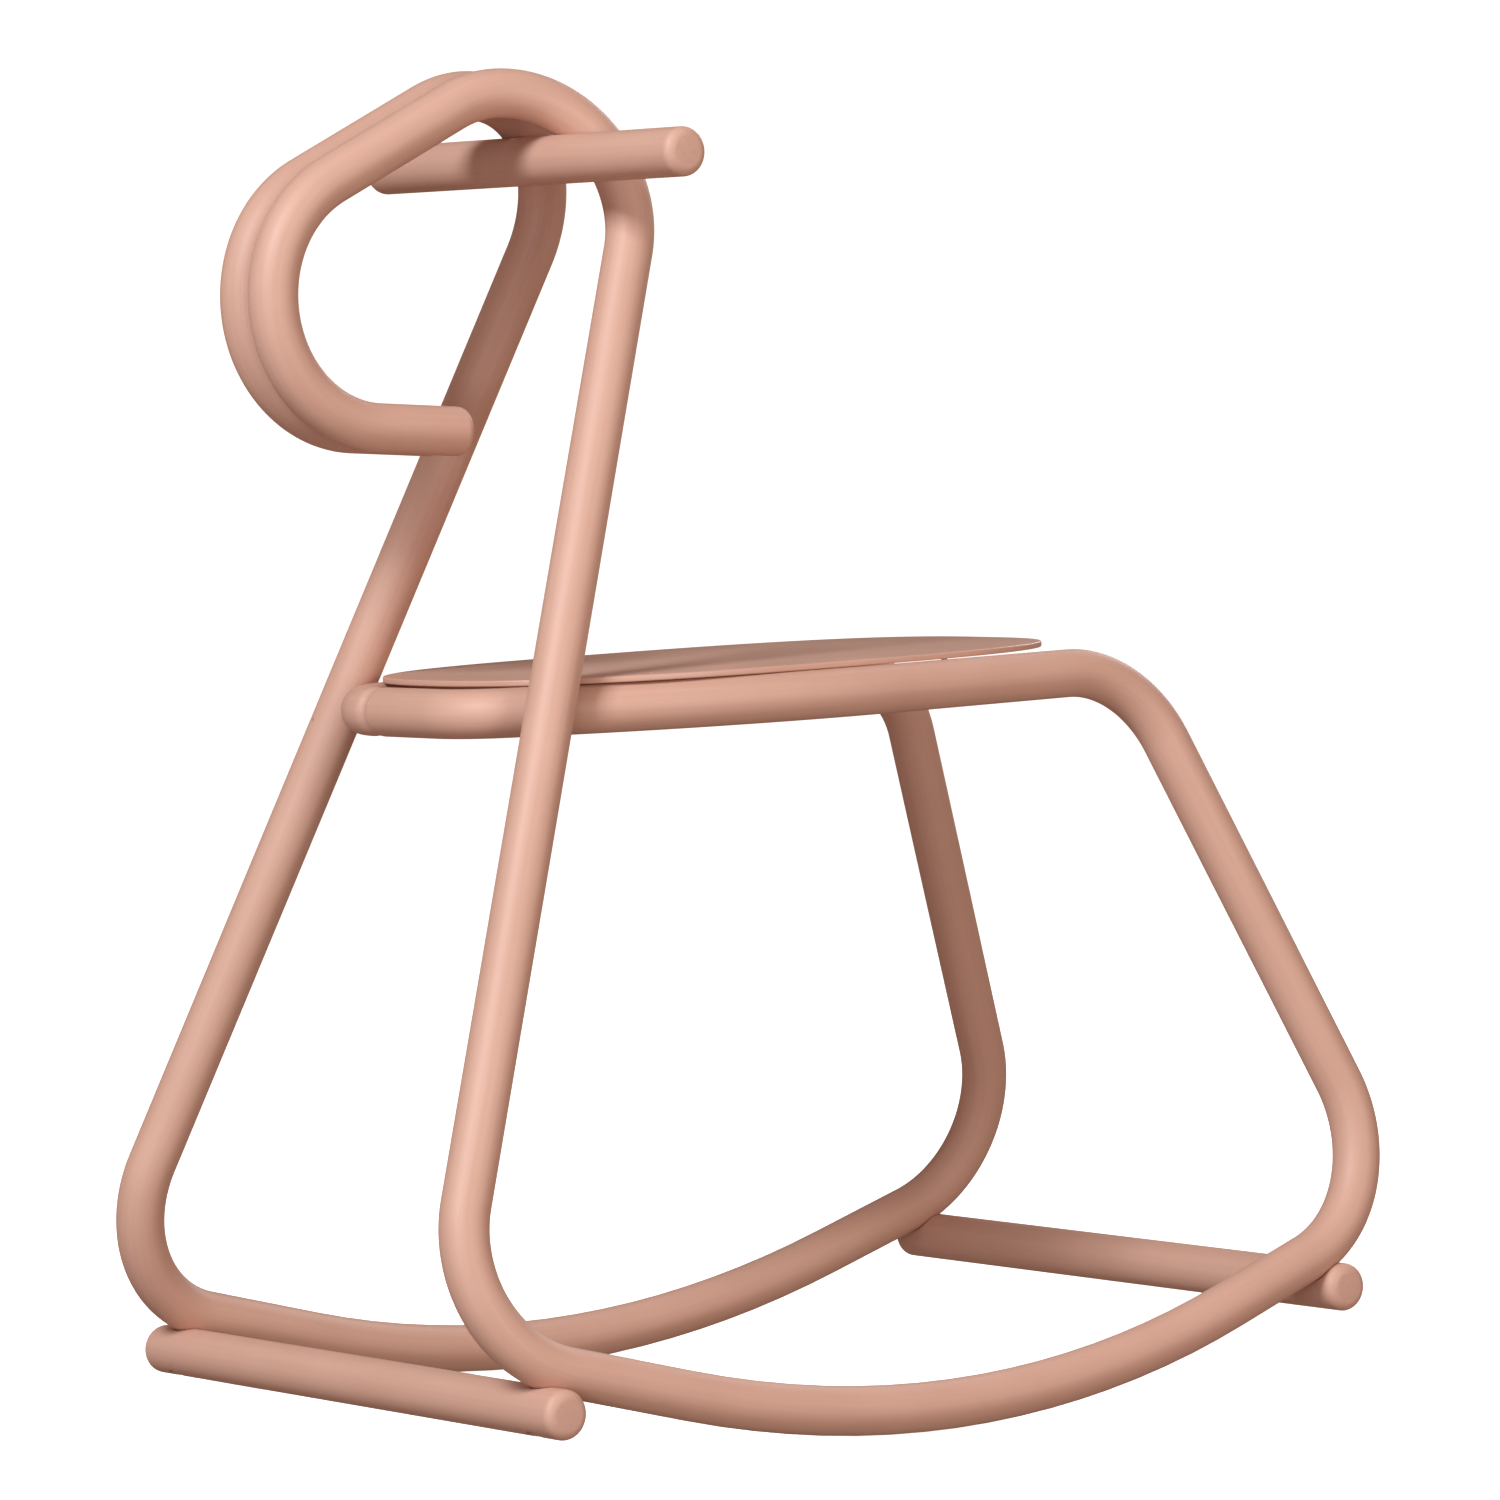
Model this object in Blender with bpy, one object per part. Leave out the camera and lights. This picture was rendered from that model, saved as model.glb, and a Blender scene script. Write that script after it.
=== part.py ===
"""Rocking horse: two bent rods that mirror each other, a seat panel, a handle and two footrests."""

import math

import bmesh
import bpy
import numpy as np

# The frame: X to the horse's left, -Y forward, Z up, the rockers touching the floor at Z = 0.
ROD_RADIUS = 0.012
GAP = 0.0003  # between pieces that touch
SADDLE_GAP = 0.0005  # between a rod and the hollow it lies in
SADDLE_REACH = 8.0  # length of that hollow either way, in rod radii
END_ROUNDING = 0.005
CONTACT_GAP = 0.0005  # between a rail and the leg it passes
MOST_SETBACK = 0.080  # of the rails' front bends, to clear the legs
SETBACK_STEPS = 14
CONTACT_POINTS = 1500
CONTACT_REACH = 0.08  # above and below the rails
RAIL_START_SHARE = 0.8  # the rail begins after this share of a rod
ROD_BEVEL_STEPS = 4  # 20 sides
BAR_BEVEL_STEPS = 4
BEND_STEP = math.radians(6.0)
LARGE_ARC_STEP = math.radians(2.5)
LARGE_ARC_RADIUS = 0.2

# Corners of one rod's centre line, before the bends are rounded: (forward, up).
HEAD_OFFSET = ROD_RADIUS + GAP / 2  # each head loop beside the mid-plane
CHIN_END = (0.1831, 0.4815)
CHIN_BEND = (0.2579, 0.4836)
MUZZLE_BEND = (0.3322, 0.5625)
POLL_BEND = (0.0560, 0.7091)
TOE_BEND = (0.2914, 0.0568)
ROCKER_FRONT = (0.0630, 0.0046)
ROCKER_REAR = (-0.1059, 0.0232)
HEEL_BEND = (-0.2914, 0.0932)
SEAT_REAR = -0.1657  # forward position of the bend behind the seat
POLL_RADIUS, TOE_RADIUS, HEEL_RADIUS, SEAT_REAR_RADIUS = 0.0602, 0.0629, 0.0657, 0.0608
PAIR_FILL = 0.998  # share of the line between two paired bends that they take up

# Each rod's lower half lies in a plane that leans outwards: half width = a + b * forward + c * up.
SPREAD_AT_POLL = HEAD_OFFSET
SPREAD_PER_FORWARD = -0.030
SPREAD_PER_UP = -0.222

# The seat rails lie in one sloping plane and bow in to the front: (forward, half width).
RAIL_LEVEL = 0.3560  # height of a rail's centre line where forward = 0
RAIL_SLOPE = 0.050
RAIL_BOW = (0.0928, 0.0143)  # its half width is counted outwards from the bend behind the seat
RAIL_FRONT = (0.2073, 0.0480)
TIP_OVERRUN = 0.0235  # the left rail runs this far past the mid-plane, the right one stops short
RAIL_BOW_RADIUS, RAIL_FRONT_RADIUS = 0.350, 0.036

# Cross bars: (forward, up) of a place on the axis, how far the ends pass the rods' axes, and how
# much closer than two radii the bar lies to the rod, which its saddle takes up.
HANDLE = ((0.1347, 0.6138), 0.105212, 0.002612)
FRONT_FOOTREST = ((0.2377, 0.0240), 0.021334, 0.003378)
REAR_FOOTREST = ((-0.2409, 0.0538), 0.015893, 0.004535)

# Seat panel: an egg-shaped sheet on the crowns of the rails.
SEAT_THICKNESS = 0.0030
SEAT_EDGE_ROUNDING = 0.0006
SEAT_CENTRE = 0.030  # forward position of its widest line
SEAT_EDGE_INSET = 0.0049  # from the rails' widest corner
SEAT_FRONT_SHORT = 0.0073  # of the corner of the rails' front bend
SEAT_REAR_SHORT = 0.0147  # of the corner of the bend behind it
SEAT_FRONT_REACH = RAIL_FRONT[0] - SEAT_CENTRE - SEAT_FRONT_SHORT  # less the rails' setback
SEAT_REAR_REACH = SEAT_CENTRE - SEAT_REAR - SEAT_REAR_SHORT
SEAT_OVER_RAIL = 0.0026  # edge outside the rail's centre line where the rail passes the leg
SEAT_REAR_POWER = 2.9
LEAST_POWER, MOST_POWER = 1.4, 4.0
POWER_STEPS = 24
SEAT_OUTLINE_POINTS = 72

# Countersunk screws: one profile, three lengths; hex sockets.
SCREW_SHANK = 0.0020
SCREW_HEAD = 0.0042
SCREW_HEAD_DEPTH = 0.0026
SCREW_SINK = 0.0012  # how far a head lies below the rod's surface
SOCKET_RADIUS = 0.0017
SOCKET_DEPTH = 0.0016
SCREW_SIDES = 12
BAR_SCREW_GRIP = 0.0060  # how far past the rod's axis the tip reaches
SEAT_SCREW_LENGTH = 0.0140
SEAT_SCREW_HEAD = 0.0034
SEAT_SCREW_HEAD_DEPTH = 0.0019
SEAT_SCREW_SHANK = 0.0015
SEAT_SCREW_INSET = 0.0055  # inwards from the rail's crown
SEAT_SCREW_STATIONS = (-0.42, 0.05, 0.55)  # shares of the seat's reach behind and in front

# Dowels that join the head loops and the rail tips.
DOWEL_RADIUS = 0.0030
DOWEL_LENGTH = 0.0140
TIP_DOWEL_RADIUS = 0.0035
TIP_DOWEL_LENGTH = 0.0260
DOWEL_POINTS = ((0.2150, 0.48245), (0.1950, 0.63525))

PAINT = (0.615, 0.345, 0.262, 1.0)
STEEL = (0.52, 0.53, 0.54, 1.0)
BEECH = (0.66, 0.49, 0.31, 1.0)


def clear_scene():
    for obj in list(bpy.data.objects):
        bpy.data.objects.remove(obj, do_unlink=True)


def new_collection(name, hidden=False):
    made = bpy.data.collections.new(name)
    bpy.context.scene.collection.children.link(made)
    made.hide_render = hidden
    return made


def material(name, colour, roughness, metallic=0.0):
    made = bpy.data.materials.new(name)
    made.use_nodes = True
    shader = made.node_tree.nodes["Principled BSDF"]
    shader.inputs["Base Color"].default_value = colour
    shader.inputs["Roughness"].default_value = roughness
    shader.inputs["Metallic"].default_value = metallic
    made.diffuse_color = colour
    return made


def world(forward, half_width, up):
    """A point of the frame from its place along, across and above."""
    return np.array([half_width, -forward, up])


def on_leaning_plane(point):
    forward, up = point
    spread = SPREAD_AT_POLL + SPREAD_PER_FORWARD * (forward - POLL_BEND[0])
    return world(forward, spread + SPREAD_PER_UP * (up - POLL_BEND[1]), up)


def on_rail_plane(forward, half_width):
    return world(forward, half_width, RAIL_LEVEL - RAIL_SLOPE * forward)


def rounded_path(corners, radii):
    """Points of a line through the corners, each corner turned into an arc of its radius."""
    points = [corners[0]]
    for before, corner, after, radius in zip(corners, corners[1:], corners[2:], radii):
        back = (before - corner) / np.linalg.norm(before - corner)
        on = (after - corner) / np.linalg.norm(after - corner)
        between = math.acos(float(np.clip(back @ on, -1, 1)))
        turn = math.pi - between
        reach = radius / math.tan(between / 2)
        middle = (back + on) / np.linalg.norm(back + on)
        centre = corner + middle * radius / math.sin(between / 2)
        start = corner + back * reach
        across = (start - centre) / radius
        step = LARGE_ARC_STEP if radius > LARGE_ARC_RADIUS else BEND_STEP
        count = max(2, math.ceil(turn / step))
        for k in range(count + 1):
            angle = turn * k / count
            points.append(centre + radius * (math.cos(angle) * across - math.sin(angle) * back))
    points.append(corners[-1])
    return drop_short_steps(points)


def drop_short_steps(points, least=0.0008):
    kept = [points[0]]
    for point in points[1:-1]:
        if np.linalg.norm(point - kept[-1]) > least:
            kept.append(point)
    while len(kept) > 1 and np.linalg.norm(points[-1] - kept[-1]) <= least:
        kept.pop()
    return np.array(kept + [points[-1]])


def rear_half_width():
    """Half the distance between the two bends behind the seat, which end the leaning planes."""
    return float(on_leaning_plane((SEAT_REAR, RAIL_LEVEL - RAIL_SLOPE * SEAT_REAR))[0])


def bow_half_width():
    return rear_half_width() + RAIL_BOW[1]


def half_turn_tangent(before, corner, after):
    """Length of a bend of radius one along each of its legs."""
    back = (before - corner) / np.linalg.norm(before - corner)
    on = (after - corner) / np.linalg.norm(after - corner)
    return 1.0 / math.tan(math.acos(float(np.clip(back @ on, -1, 1))) / 2)


def paired_radius(before, first, second, after):
    """The one radius at which two neighbouring bends meet between their corners."""
    room = float(np.linalg.norm(second - first)) * PAIR_FILL
    return room / (half_turn_tangent(before, first, second) + half_turn_tangent(first, second, after))


def frame_corners(setback):
    """The left rod's corners and bend radii, from the chin to the rail's tip."""
    head = [world(f, HEAD_OFFSET, u) for f, u in (CHIN_END, CHIN_BEND, MUZZLE_BEND, POLL_BEND)]
    side = [on_leaning_plane(p) for p in (TOE_BEND, ROCKER_FRONT, ROCKER_REAR, HEEL_BEND)]
    rail = [on_rail_plane(f, w)
            for f, w in ((SEAT_REAR, rear_half_width()), (RAIL_BOW[0] - setback, bow_half_width()),
                         (RAIL_FRONT[0] - setback, RAIL_FRONT[1]),
                         (RAIL_FRONT[0] - setback, -TIP_OVERRUN))]
    muzzle = paired_radius(*head)
    rocker = paired_radius(*side)
    radii = [muzzle, muzzle, POLL_RADIUS, TOE_RADIUS, rocker, rocker, HEEL_RADIUS,
             SEAT_REAR_RADIUS, RAIL_BOW_RADIUS, RAIL_FRONT_RADIUS]
    return head + side + rail, radii


def lengths_along(points):
    return np.concatenate([[0.0], np.cumsum(np.linalg.norm(np.diff(points, axis=0), axis=1))])


def point_at(points, distance):
    along = lengths_along(points)
    return np.array([np.interp(distance, along, points[:, k]) for k in range(3)])


def cut_to(points, distance):
    """The path's first part, up to a distance along it."""
    along = lengths_along(points)
    return drop_short_steps([*points[along < distance], point_at(points, distance)])


def with_round_ends(points, radius, rounding, steps=4):
    """Points and radii of a path, with more points where its ends are rounded off."""
    along = lengths_along(points)
    total = along[-1]
    angles = [math.pi / 2 * (k / steps) for k in range(steps + 1)]
    nose = [(rounding * (1 - math.cos(a)), radius - rounding * (1 - math.sin(a))) for a in angles]
    first = [(d, r) for d, r in nose]
    last = [(total - d, r) for d, r in reversed(nose)]
    middle = [(d, radius) for d in along if rounding * 1.1 < d < total - rounding * 1.1]
    stations = first + middle + last
    return [(point_at(points, d), r) for d, r in stations]


def tube(name, stations, home, finish, bevel_steps=ROD_BEVEL_STEPS):
    """A round bar along the stations, closed at both ends, as a mesh object."""
    widest = max(r for _, r in stations)
    curve = bpy.data.curves.new(name + "_line", "CURVE")
    curve.dimensions = "3D"
    curve.twist_mode = "MINIMUM"
    curve.bevel_depth = widest
    curve.bevel_resolution = bevel_steps
    curve.use_fill_caps = True
    spline = curve.splines.new("POLY")
    spline.points.add(len(stations) - 1)
    for slot, (place, r) in zip(spline.points, stations):
        slot.co = (*place, 1.0)
        slot.radius = r / widest
    line = bpy.data.objects.new(name + "_line", curve)
    bpy.context.scene.collection.objects.link(line)
    graph = bpy.context.evaluated_depsgraph_get()
    mesh = bpy.data.meshes.new_from_object(line.evaluated_get(graph), depsgraph=graph)
    mesh.name = name
    solid = bpy.data.objects.new(name, mesh)
    solid.matrix_world = line.matrix_world.copy()
    bpy.data.objects.remove(line, do_unlink=True)
    shape = bmesh.new()
    shape.from_mesh(mesh)
    bmesh.ops.remove_doubles(shape, verts=shape.verts, dist=0.00001)
    bmesh.ops.recalc_face_normals(shape, faces=shape.faces)
    for face in shape.faces:
        face.smooth = len(face.verts) == 4
    shape.to_mesh(mesh)
    shape.free()
    mesh.materials.clear()
    mesh.materials.append(finish)
    home.objects.link(solid)
    return solid


def turned(name, profile, place, direction, home, finish, sides=SCREW_SIDES):
    """A solid of revolution: (radius, depth) pairs from the axis at the top to the axis at the tip."""
    mesh = bpy.data.meshes.new(name)
    shape = bmesh.new()
    line = [shape.verts.new((r, 0.0, -depth)) for r, depth in profile]
    edges = [shape.edges.new(pair) for pair in zip(line, line[1:])]
    bmesh.ops.spin(shape, geom=[*line, *edges], cent=(0, 0, 0), axis=(0, 0, 1),
                   angle=2 * math.pi, steps=sides, use_duplicate=False)
    bmesh.ops.remove_doubles(shape, verts=shape.verts, dist=0.00001)
    bmesh.ops.recalc_face_normals(shape, faces=shape.faces)
    shape.to_mesh(mesh)
    shape.free()
    mesh.materials.append(finish)
    solid = bpy.data.objects.new(name, mesh)
    solid.location = place
    solid.rotation_euler = point_down(direction)
    home.objects.link(solid)
    return solid


def point_down(direction):
    """The rotation that turns local -Z to the direction."""
    x, y, z = -np.asarray(direction, float) / np.linalg.norm(direction)
    return (0.0, math.acos(max(-1.0, min(1.0, z))), math.atan2(y, x))


def cut(solid, cutter, name):
    change = solid.modifiers.new(name, "BOOLEAN")
    change.operation = "DIFFERENCE"
    change.solver = "EXACT"
    change.object = cutter


def as_cutter(solid):
    solid.display_type = "WIRE"
    return solid


def screw_profile(head, head_depth, shank, length):
    point = shank * 1.6
    return [(0.0, 0.0), (head, 0.0), (shank, head_depth), (shank, length - point), (0.0, length)]


def hole_profile(head, head_depth, shank, length, above):
    wide, narrow = head + GAP, shank + GAP
    return [(0.0, -above), (wide, -above), (wide, GAP), (narrow, head_depth + GAP),
            (narrow, length + GAP), (0.0, length + 2 * GAP)]


def add_screw(name, place, direction, length, sizes, through, above, homes, finishes):
    """One screw with its hex socket, and its hole in every piece that it passes through."""
    head, head_depth, shank = sizes
    home, cutters = homes
    screw = turned(name, screw_profile(head, head_depth, shank, length), place, direction, home,
                   finishes["steel"])
    socket_profile = [(0.0, -SOCKET_DEPTH), (SOCKET_RADIUS, -SOCKET_DEPTH),
                      (SOCKET_RADIUS, SOCKET_DEPTH), (0.0, SOCKET_DEPTH)]
    socket = as_cutter(turned(name + "_socket", socket_profile, place, direction, cutters,
                              finishes["steel"], sides=6))
    cut(screw, socket, "socket")
    hole = as_cutter(turned(name + "_hole", hole_profile(head, head_depth, shank, length, above),
                            place, direction, cutters, finishes["steel"]))
    for solid in through:
        cut(solid, hole, name + "_hole")


def add_dowel(name, middle, direction, radius, length, through, homes, finishes):
    """One round dowel, and its blind holes in the two pieces that it joins."""
    home, cutters = homes
    direction = np.asarray(direction, float) / np.linalg.norm(direction)
    chamfer = radius * 0.25
    profile = [(0.0, 0.0), (radius - chamfer, 0.0), (radius, chamfer), (radius, length - chamfer),
               (radius - chamfer, length), (0.0, length)]
    turned(name, profile, middle - direction * length / 2, direction, home, finishes["beech"])
    wide, long = radius + GAP, length + 4 * GAP
    room = [(0.0, 0.0), (wide, 0.0), (wide, long), (0.0, long)]
    hole = as_cutter(turned(name + "_hole", room, middle - direction * long / 2, direction, cutters,
                            finishes["beech"]))
    for solid in through:
        cut(solid, hole, name + "_hole")


def bar_stations(axis, half_length):
    forward, up = axis
    ends = np.array([world(forward, -half_length, up), world(forward, half_length, up)])
    return with_round_ends(ends, ROD_RADIUS, END_ROUNDING)


def bar_place(path, place, overhang, bite):
    """The bar's axis, moved to its distance from the rod, and half its length."""
    near = nearest_on_path(path, place)
    away = world(place[0], near[0], place[1]) - near
    axis = near + away * (2 * ROD_RADIUS - bite) / np.linalg.norm(away)
    return (-axis[1], axis[2]), near[0] + overhang


def nearest_on_path(path, axis):
    """The path's point closest to a cross bar's axis, on a finely divided path."""
    along = lengths_along(path)
    fine = np.array([point_at(path, d) for d in np.linspace(0, along[-1], 4000)])
    forward, up = axis
    away = np.hypot(fine[:, 1] + forward, fine[:, 2] - up)
    return fine[int(away.argmin())]


def seat_front_power(front_reach, path):
    """The roundness at which the panel's edge keeps its place over the rail beside the leg."""
    rail, _ = rail_and_leg_contact(path)
    share = (-rail[1] - SEAT_CENTRE) / front_reach
    wanted = (rail[0] + SEAT_OVER_RAIL) / (bow_half_width() - SEAT_EDGE_INSET)
    least, most = LEAST_POWER, MOST_POWER
    for _ in range(POWER_STEPS):
        power = (least + most) / 2
        narrow = (1 - share ** power) ** (1 / power) < wanted
        least, most = (power, most) if narrow else (least, power)
    return least


def seat_outline(front_reach, front_power):
    half_width = bow_half_width() - SEAT_EDGE_INSET
    points = []
    for k in range(SEAT_OUTLINE_POINTS):
        angle = 2 * math.pi * k / SEAT_OUTLINE_POINTS
        c, s = math.cos(angle), math.sin(angle)
        reach, power = ((front_reach, front_power) if c > 0
                        else (SEAT_REAR_REACH, SEAT_REAR_POWER))
        forward = reach * math.copysign(abs(c) ** (2 / power), c)
        across = half_width * math.copysign(abs(s) ** (2 / power), s)
        points.append((across, -forward))
    return points


def seat_panel(front_reach, front_power, home, finish):
    curve = bpy.data.curves.new("seat_outline", "CURVE")
    curve.dimensions = "2D"
    curve.fill_mode = "BOTH"
    curve.extrude = SEAT_THICKNESS / 2 - SEAT_EDGE_ROUNDING
    curve.bevel_depth = SEAT_EDGE_ROUNDING
    curve.bevel_resolution = 1
    curve.offset = -SEAT_EDGE_ROUNDING
    spline = curve.splines.new("POLY")
    outline = seat_outline(front_reach, front_power)
    spline.points.add(len(outline) - 1)
    for slot, (x, y) in zip(spline.points, outline):
        slot.co = (x, y, 0.0, 1.0)
    spline.use_cyclic_u = True
    line = bpy.data.objects.new("seat_outline", curve)
    bpy.context.scene.collection.objects.link(line)
    graph = bpy.context.evaluated_depsgraph_get()
    mesh = bpy.data.meshes.new_from_object(line.evaluated_get(graph), depsgraph=graph)
    bpy.data.objects.remove(line, do_unlink=True)
    shape = bmesh.new()
    shape.from_mesh(mesh)
    bmesh.ops.remove_doubles(shape, verts=shape.verts, dist=0.00001)
    bmesh.ops.recalc_face_normals(shape, faces=shape.faces)
    shape.to_mesh(mesh)
    shape.free()
    mesh.name = "seat_panel"
    mesh.materials.clear()
    mesh.materials.append(finish)
    panel = bpy.data.objects.new("seat_panel", mesh)
    lift = (ROD_RADIUS + GAP + SEAT_THICKNESS / 2) * math.sqrt(1 + RAIL_SLOPE ** 2)
    centre = on_rail_plane(SEAT_CENTRE, 0.0)
    panel.location = (0.0, centre[1], centre[2] + lift)
    panel.rotation_euler = (math.atan(RAIL_SLOPE), 0.0, 0.0)
    home.objects.link(panel)
    return panel


def mirrored(points):
    return points * np.array([-1.0, 1.0, 1.0])


def right_path_length(left, right):
    """How far the right rod runs before its round end reaches the left rail's tip."""
    along = lengths_along(right)
    fine = np.linspace(along[-1] - 4 * TIP_OVERRUN, along[-1], 2000)
    across = np.array([point_at(right, d)[0] for d in fine])
    return float(fine[across <= left[-1][0] - GAP][-1])


def rail_and_leg_contact(path):
    """The closest points of the rail and of the front leg of one rod."""
    along = lengths_along(path)
    fine = np.array([point_at(path, d) for d in np.linspace(0, along[-1], CONTACT_POINTS)])
    level = RAIL_LEVEL - RAIL_SLOPE * RAIL_FRONT[0]
    leg = fine[(abs(fine[:, 2] - level) < CONTACT_REACH)
               & (np.arange(len(fine)) < len(fine) // 2) & (fine[:, 1] < -POLL_BEND[0])]
    rail = fine[int(len(fine) * RAIL_START_SHARE):]
    away = np.linalg.norm(rail[:, None] - leg[None], axis=2)
    i, j = np.unravel_index(int(away.argmin()), away.shape)
    return rail[i], leg[j]


def rail_setback():
    """How far back the rails' front bends move so that each rail just touches its own leg."""
    least, most = -MOST_SETBACK, MOST_SETBACK
    for _ in range(SETBACK_STEPS):
        setback = (least + most) / 2
        rail, leg = rail_and_leg_contact(rounded_path(*frame_corners(setback)))
        touching = np.linalg.norm(rail - leg) < 2 * ROD_RADIUS + CONTACT_GAP
        least, most = (setback, most) if touching else (least, setback)
    return most


def build():
    clear_scene()
    home = new_collection("rocking_horse")
    cutters = new_collection("cutters", hidden=True)
    homes = (home, cutters)
    finishes = {"paint": material("pink_paint", PAINT, 0.45),
                "seat": material("seat_paint", PAINT, 0.42),
                "steel": material("screw_steel", STEEL, 0.32, 1.0),
                "beech": material("dowel_beech", BEECH, 0.60)}

    setback = rail_setback()
    left_path = rounded_path(*frame_corners(setback))
    right_path = mirrored(left_path)
    right_path = cut_to(right_path, right_path_length(left_path, right_path))
    rods = {}
    for side, path in (("left", left_path), ("right", right_path)):
        stations = with_round_ends(path, ROD_RADIUS, END_ROUNDING)
        rods[side] = tube("frame_rod_" + side, stations, home, finishes["paint"])

    front_reach = SEAT_FRONT_REACH - setback
    front_power = seat_front_power(front_reach, left_path)
    seat = seat_panel(front_reach, front_power, home, finishes["seat"])

    bars = {}
    for name, bar in (("handle", HANDLE), ("front_footrest", FRONT_FOOTREST),
                      ("rear_footrest", REAR_FOOTREST)):
        axis, half = bar_place(left_path, *bar)
        bars[name] = tube(name, bar_stations(axis, half), home, finishes["paint"], BAR_BEVEL_STEPS)
        for side, path in (("left", left_path), ("right", right_path)):
            near = nearest_on_path(path, axis)
            along = lengths_along(path)
            spots = np.array([point_at(path, d) for d in along])
            close = np.linalg.norm(spots - near, axis=1) < SADDLE_REACH * ROD_RADIUS
            piece = path[close]
            seat_cut = [(p, ROD_RADIUS + SADDLE_GAP) for p in piece]
            saddle = as_cutter(tube(name + "_saddle_" + side, seat_cut, cutters, finishes["paint"]))
            cut(bars[name], saddle, "saddle_" + side)
            toward = near - world(axis[0], near[0], axis[1])
            toward /= np.linalg.norm(toward)
            start = world(axis[0], near[0], axis[1]) - toward * (ROD_RADIUS - SCREW_SINK)
            reach = float(np.linalg.norm(near - start)) + BAR_SCREW_GRIP
            add_screw(name + "_screw_" + side, start, toward, reach,
                      (SCREW_HEAD, SCREW_HEAD_DEPTH, SCREW_SHANK), (bars[name], rods[side]),
                      0.004, homes, finishes)

    for side, path in (("left", left_path), ("right", right_path)):
        rail, leg = rail_and_leg_contact(path)
        toward = (leg - rail) / np.linalg.norm(leg - rail)
        start = rail - toward * (ROD_RADIUS - SCREW_SINK)
        reach = float(np.linalg.norm(leg - start)) + BAR_SCREW_GRIP
        add_screw("leg_screw_" + side, start, toward, reach,
                  (SCREW_HEAD, SCREW_HEAD_DEPTH, SCREW_SHANK), (rods[side],), 0.004, homes, finishes)

    tilt = math.atan(RAIL_SLOPE)
    down = np.array([0.0, math.sin(tilt), -math.cos(tilt)])
    top = (ROD_RADIUS + GAP + SEAT_THICKNESS - 0.0002) / math.cos(tilt)
    for side, sign, path in (("left", 1, left_path), ("right", -1, left_path)):
        rail = path[int(len(path) * 0.7):]
        for number, share in enumerate(SEAT_SCREW_STATIONS, 1):
            forward = SEAT_CENTRE + share * (front_reach if share > 0 else SEAT_REAR_REACH)
            half = float(np.interp(-forward, rail[::-1, 1][np.argsort(rail[::-1, 1])],
                                   rail[::-1, 0][np.argsort(rail[::-1, 1])]))
            place = on_rail_plane(forward, sign * (half - SEAT_SCREW_INSET)) + [0, 0, top]
            add_screw(f"seat_screw_{side}_{number}", place, down, SEAT_SCREW_LENGTH,
                      (SEAT_SCREW_HEAD, SEAT_SCREW_HEAD_DEPTH, SEAT_SCREW_SHANK),
                      (seat, rods[side]), 0.002, homes, finishes)

    for number, (forward, up) in enumerate(DOWEL_POINTS, 1):
        add_dowel(f"head_dowel_{number}", world(forward, 0.0, up), (1, 0, 0), DOWEL_RADIUS,
                  DOWEL_LENGTH, (rods["left"], rods["right"]), homes, finishes)
    joint = (left_path[-1] + right_path[-1]) / 2
    add_dowel("rail_tip_dowel", joint, (1, 0, 0), TIP_DOWEL_RADIUS, TIP_DOWEL_LENGTH,
              (rods["left"], rods["right"]), homes, finishes)
    rest_at_origin(rods.values(), [*home.objects, *cutters.objects])


def rest_at_origin(rods, pieces):
    """Shift every piece so that the frame's base is centred on the origin."""
    places = np.array([v.co for rod in rods for v in rod.data.vertices])
    low, high = places.min(axis=0), places.max(axis=0)
    for piece in pieces:
        piece.location.y -= (low[1] + high[1]) / 2
        piece.location.z -= low[2]


build()
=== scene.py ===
import math

import bmesh
import bpy
import numpy as np
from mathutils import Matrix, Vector

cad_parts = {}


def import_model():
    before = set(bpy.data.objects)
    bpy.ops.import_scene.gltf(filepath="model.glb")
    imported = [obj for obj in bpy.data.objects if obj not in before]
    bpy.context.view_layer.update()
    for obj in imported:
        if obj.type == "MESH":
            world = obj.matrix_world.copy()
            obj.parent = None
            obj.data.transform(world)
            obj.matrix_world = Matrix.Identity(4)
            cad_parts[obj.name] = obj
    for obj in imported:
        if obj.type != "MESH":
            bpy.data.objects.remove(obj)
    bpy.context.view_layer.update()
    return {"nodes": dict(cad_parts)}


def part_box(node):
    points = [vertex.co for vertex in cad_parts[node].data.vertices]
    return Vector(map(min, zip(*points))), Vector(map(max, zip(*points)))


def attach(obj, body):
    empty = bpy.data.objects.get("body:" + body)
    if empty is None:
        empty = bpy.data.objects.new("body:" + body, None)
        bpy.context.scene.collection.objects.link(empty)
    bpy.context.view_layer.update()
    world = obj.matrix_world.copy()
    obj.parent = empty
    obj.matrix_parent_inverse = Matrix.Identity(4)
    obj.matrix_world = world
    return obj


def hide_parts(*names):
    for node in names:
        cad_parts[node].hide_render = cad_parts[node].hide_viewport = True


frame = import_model()
nodes = frame["nodes"]
print("frame loaded:", len(nodes), "nodes")

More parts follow.
